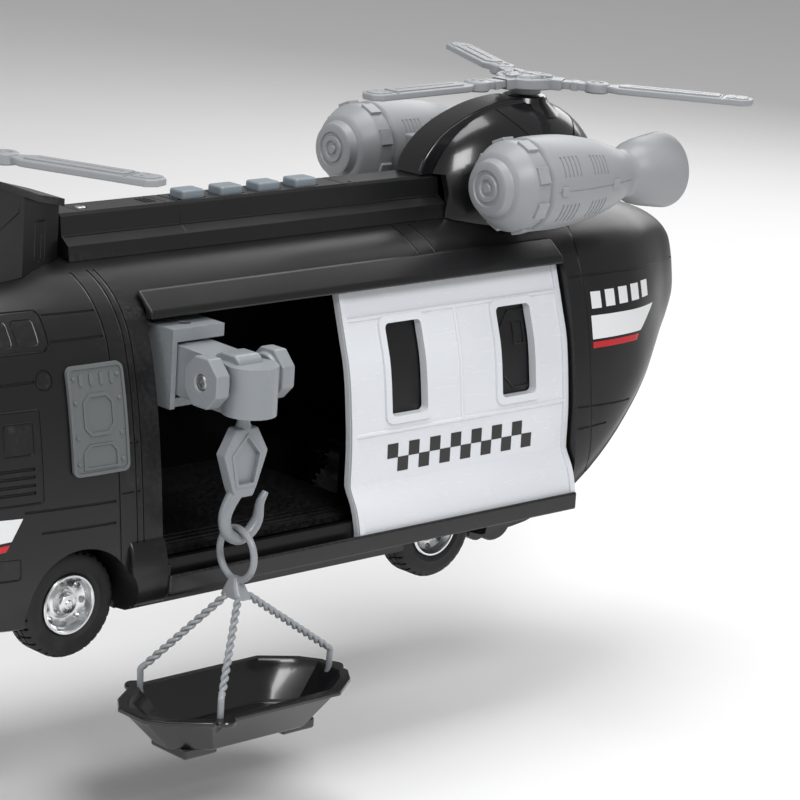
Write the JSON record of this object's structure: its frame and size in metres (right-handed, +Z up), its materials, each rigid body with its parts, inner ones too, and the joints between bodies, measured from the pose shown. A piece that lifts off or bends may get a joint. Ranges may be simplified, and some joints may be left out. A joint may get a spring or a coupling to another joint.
{
  "type": "toy helicopter",
  "caption": "Toy tandem-rotor helicopter with a sliding cabin door, push buttons on the roof, free-spinning rotors, friction-drive wheels and a winch with a slung tray.",
  "frame": {"origin": "underside of the chassis plate, midway between the two axles and on the centre line", "axes": "+X towards the nose, +Y towards the side with the sliding door and the winch, +Z up; rest is the door open, the winch arm straight out and the hook wound up"},
  "size_m": [0.4251, 0.1756, 0.1992],
  "materials": {
    "hull_black": "satin moulded plastic, very dark grey-black",
    "gloss_black": "glossy moulded plastic, black",
    "door_white": "glossy moulded plastic, cool white",
    "rotor_grey": "satin moulded plastic, cool light grey",
    "button_grey": "satin moulded plastic, bluish grey",
    "tyre_black": "matte black soft plastic",
    "rim_silver": "bright plated plastic",
    "steel": "plain steel",
    "sling_grey": "satin moulded plastic, silver grey",
    "trim_beige": "dull moulded plastic, beige",
    "board_green": "solder-masked board",
    "dark_window": "dark glossy plastic"
  },
  "bodies": {
    "airframe": {"fuselage_port_shell": "hull_black", "fuselage_starboard_shell": "hull_black", "nose_shell": "hull_black", "windscreen": "dark_window", "chassis_plate": "hull_black", "cabin_floor": "hull_black", "cabin_front_wall": "trim_beige", "door_rail_upper": "hull_black", "door_rail_lower": "hull_black", "roof_spine": "hull_black", "battery_door": "hull_black", "battery_door_screw": "steel", "button_cell_1": "steel", "button_cell_2": "steel", "button_cell_3": "steel", "circuit_board": "board_green", "speaker": "gloss_black", "front_pylon": "hull_black", "rear_pylon": "gloss_black", "engine_port": "rotor_grey", "engine_starboard": "rotor_grey", "side_hatch": "rotor_grey", "winch_bracket": "rotor_grey", "winch_hinge_pin": "steel", "friction_motor_frame": "gloss_black"},
    "cabin_door": {"sliding_door": "door_white"},
    "button_1": {"button_1": "button_grey"},
    "button_2": {"button_2": "button_grey"},
    "button_3": {"button_3": "button_grey"},
    "button_4": {"button_4": "button_grey"},
    "front_rotor": {"front_rotor_hub": "rotor_grey", "front_blade_1": "rotor_grey", "front_blade_2": "rotor_grey", "front_blade_3": "rotor_grey"},
    "rear_rotor": {"rear_rotor_hub": "rotor_grey", "rear_blade_1": "rotor_grey", "rear_blade_2": "rotor_grey", "rear_blade_3": "rotor_grey"},
    "front_wheels": {"axle_front": "steel", "tyre_front_port": "tyre_black", "rim_front_port": "rim_silver", "tyre_front_starboard": "tyre_black", "rim_front_starboard": "rim_silver"},
    "rear_wheels": {"axle_rear": "steel", "tyre_rear_port": "tyre_black", "rim_rear_port": "rim_silver", "tyre_rear_starboard": "tyre_black", "rim_rear_starboard": "rim_silver", "drive_gear": "rotor_grey"},
    "flywheel": {"flywheel": "steel"},
    "winch_arm": {"winch_arm": "rotor_grey"},
    "winch_drum": {"winch_drum": "rotor_grey", "winch_knob_front": "rotor_grey", "winch_knob_rear": "rotor_grey", "winch_screw": "steel"},
    "hook": {"hook": "rotor_grey", "hoist_line": "sling_grey"},
    "sling": {"sling": "sling_grey", "tray": "gloss_black"}
  },
  "joints": [
    {"name": "door_slide", "type": "slide", "parent": "airframe", "child": "cabin_door", "axis": [1, 0, 0], "range_m": [0, 0.055]},
    {"name": "button_1_press", "type": "slide", "parent": "airframe", "child": "button_1", "axis": [0, 0, -1], "range_m": [0, 0.0012], "stiffness_N_per_m": 400, "springref_m": -0.0015},
    {"name": "button_2_press", "type": "slide", "parent": "airframe", "child": "button_2", "axis": [0, 0, -1], "range_m": [0, 0.0012], "stiffness_N_per_m": 400, "springref_m": -0.0015},
    {"name": "button_3_press", "type": "slide", "parent": "airframe", "child": "button_3", "axis": [0, 0, -1], "range_m": [0, 0.0012], "stiffness_N_per_m": 400, "springref_m": -0.0015},
    {"name": "button_4_press", "type": "slide", "parent": "airframe", "child": "button_4", "axis": [0, 0, -1], "range_m": [0, 0.0012], "stiffness_N_per_m": 400, "springref_m": -0.0015},
    {"name": "front_rotor_spin", "type": "hinge", "parent": "airframe", "child": "front_rotor", "pos_m": [0.109, 0, 0.151], "axis": [0, 0, 1], "continuous": true},
    {"name": "rear_rotor_spin", "type": "hinge", "parent": "airframe", "child": "rear_rotor", "pos_m": [-0.1555, 0, 0.1565], "axis": [0, 0, 1], "continuous": true},
    {"name": "front_axle_spin", "type": "hinge", "parent": "airframe", "child": "front_wheels", "pos_m": [0.0815, 0, 0.0055], "axis": [0, 1, 0], "continuous": true},
    {"name": "rear_axle_spin", "type": "hinge", "parent": "airframe", "child": "rear_wheels", "pos_m": [-0.0815, 0, 0.0055], "axis": [0, 1, 0], "continuous": true},
    {"name": "flywheel_spin", "type": "hinge", "parent": "airframe", "child": "flywheel", "pos_m": [-0.0815, -0.012, 0.01845], "axis": [0, 1, 0], "continuous": true},
    {"name": "winch_swing", "type": "hinge", "parent": "airframe", "child": "winch_arm", "pos_m": [0.0345, 0.038, 0.08], "axis": [0, 0, 1], "range_deg": [0, 35]},
    {"name": "hook_slide", "type": "slide", "parent": "winch_arm", "child": "hook", "axis": [0, 0, -1], "range_m": [0, 0.028], "deforming": ["hoist_line"]},
    {"name": "winch_turn", "type": "hinge", "parent": "winch_arm", "child": "winch_drum", "pos_m": [0.0345, 0.0675, 0.0815], "axis": [1, 0, 0], "range_deg": [-540, 0]},
    {"name": "sling_swing", "type": "hinge", "parent": "hook", "child": "sling", "pos_m": [0.0345, 0.0705, 0.0312], "axis": [0, 1, 0], "range_deg": [-20, 20]}
  ],
  "couplings": [
    {"joint": "flywheel_spin", "follows": "rear_axle_spin", "ratio": -3},
    {"joint": "winch_turn", "follows": "hook_slide", "rad_per_m": -333.33}
  ]
}
